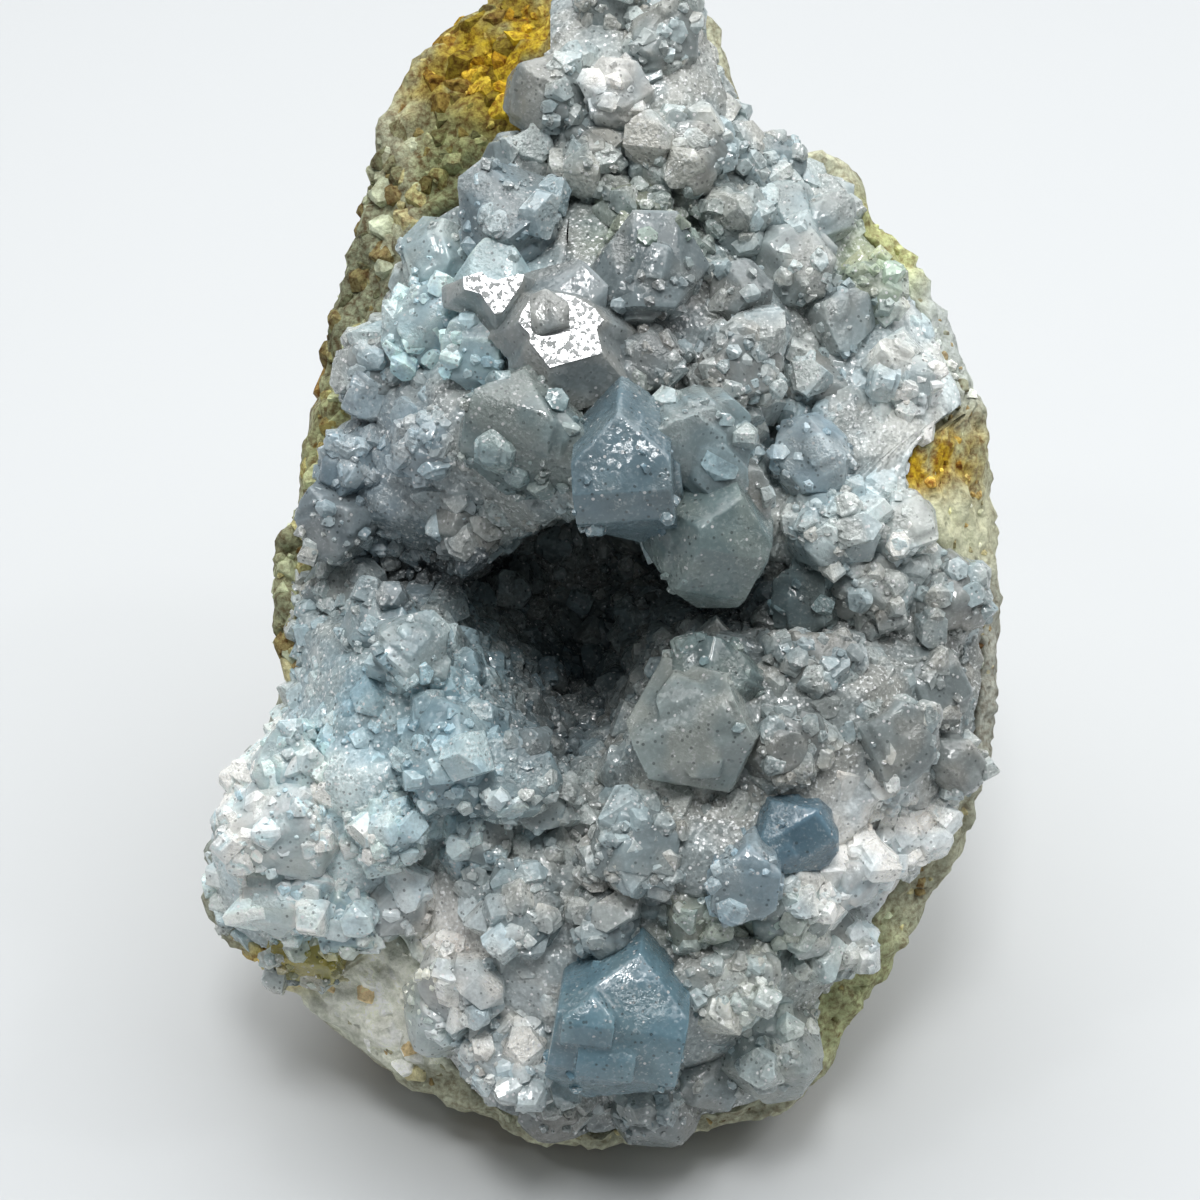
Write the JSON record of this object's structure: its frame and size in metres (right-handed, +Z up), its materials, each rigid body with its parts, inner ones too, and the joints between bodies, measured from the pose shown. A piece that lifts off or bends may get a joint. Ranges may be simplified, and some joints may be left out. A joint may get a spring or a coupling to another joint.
{
  "type": "celestite crystal cluster",
  "caption": "Loose piece of a celestite geode: a rounded rock wall lined with a crust of blocky blue-grey crystals around a dark hollow; stands on a small ground flat.",
  "frame": {"origin": "on the surface that the piece rests on, under the middle of its extent; the flat that it rests on passes through it", "axes": "+Z up as the piece rests, -Y towards the crystal face's side, +X to the right when facing the crystals"},
  "size_m": [0.0764, 0.084, 0.0942],
  "materials": {
    "matrix": "pale ochre and greenish carbonate rock, rough where broken and smooth where ground",
    "celestite": "milky translucent blue-grey crystal with glassy flat faces and sugary growth"
  },
  "bodies": {
    "root": {"geode_wall": "matrix", "crystal_crust": "celestite"}
  },
  "joints": []
}
